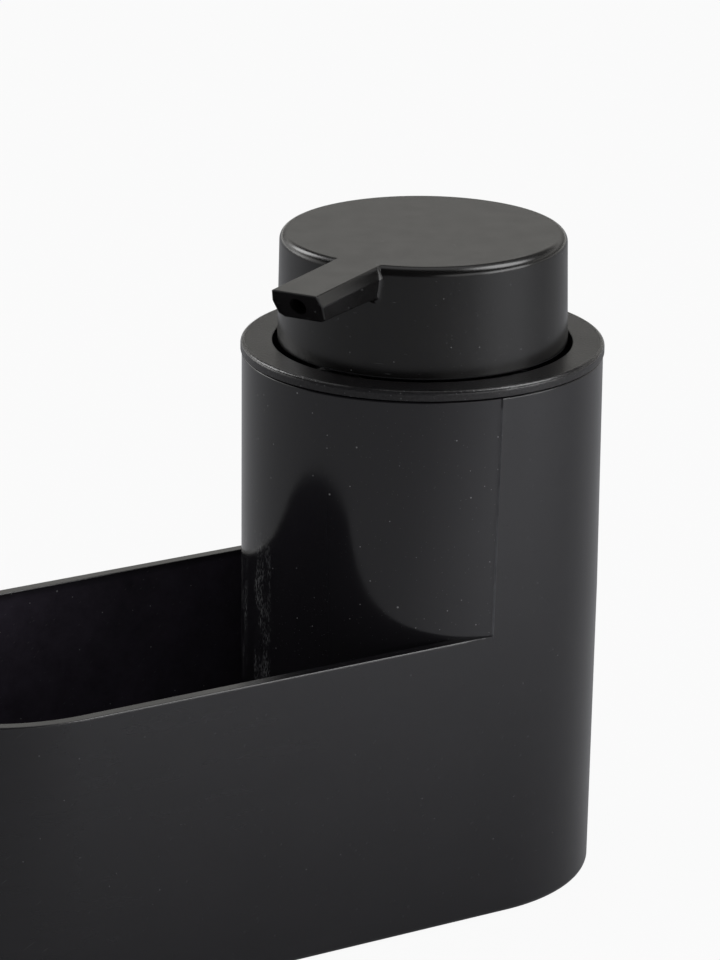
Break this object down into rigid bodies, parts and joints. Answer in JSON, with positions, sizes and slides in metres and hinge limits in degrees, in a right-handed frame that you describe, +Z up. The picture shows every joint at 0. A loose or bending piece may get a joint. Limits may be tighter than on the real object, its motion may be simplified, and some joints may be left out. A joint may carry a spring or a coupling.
{
  "type": "sink caddy with soap dispenser",
  "caption": "Black plastic sink caddy: an open rounded tray beside a tall round soap tower, closed by a lid that carries a push pump with a wide flat head and a turning spout.",
  "frame": {"origin": "centre of the whole object's box, on the surface that the feet stand on", "axes": "+X runs from the tray to the soap tower, +Y from the front to the back, +Z up"},
  "size_m": [0.1952, 0.085, 0.1569],
  "materials": {
    "satin_black_abs": "moulded ABS, satin outside, polished in the tray and on the tower's tray side",
    "matt_black_pp": "moulded PP with a fine spark-eroded texture",
    "black_rubber": "moulded, matt",
    "grey_silicone": "moulded, soft",
    "white_pe_foam": "cut from closed-cell sheet",
    "natural_pp": "moulded, unpigmented, slightly see-through",
    "stainless_steel": "drawn wire and polished ball"
  },
  "bodies": {
    "caddy": {"caddy_body": "satin_black_abs", "foot_1": "black_rubber", "foot_2": "black_rubber", "foot_3": "black_rubber", "foot_4": "black_rubber"},
    "lid": {"lid": "matt_black_pp", "lid_seal": "grey_silicone", "neck_gasket": "white_pe_foam", "pump_housing": "natural_pp", "guide_collar": "natural_pp", "closure_nut": "matt_black_pp", "ball_cage": "natural_pp", "dip_tube": "natural_pp", "return_spring": "stainless_steel"},
    "piston": {"piston_seal": "natural_pp", "piston_rod": "natural_pp"},
    "head": {"pump_head": "matt_black_pp", "stem": "natural_pp"},
    "ball": {"inlet_ball": "stainless_steel"}
  },
  "joints": [
    {"name": "lid_lift", "type": "slide", "parent": "caddy", "child": "lid", "axis": [0, 0, 1], "range_m": [0, 0.125]},
    {"name": "pump_press", "type": "slide", "parent": "lid", "child": "piston", "axis": [0, 0, -1], "range_m": [0, 0.012], "stiffness_N_per_m": 500, "springref_m": -0.005, "deforming": ["return_spring"]},
    {"name": "head_turn", "type": "hinge", "parent": "piston", "child": "head", "pos_m": [0.05505, 0, 0.1309], "axis": [0, 0, 1], "continuous": true},
    {"name": "inlet_ball_lift", "type": "slide", "parent": "lid", "child": "ball", "axis": [0, 0, 1], "range_m": [0, 0.0015]}
  ]
}
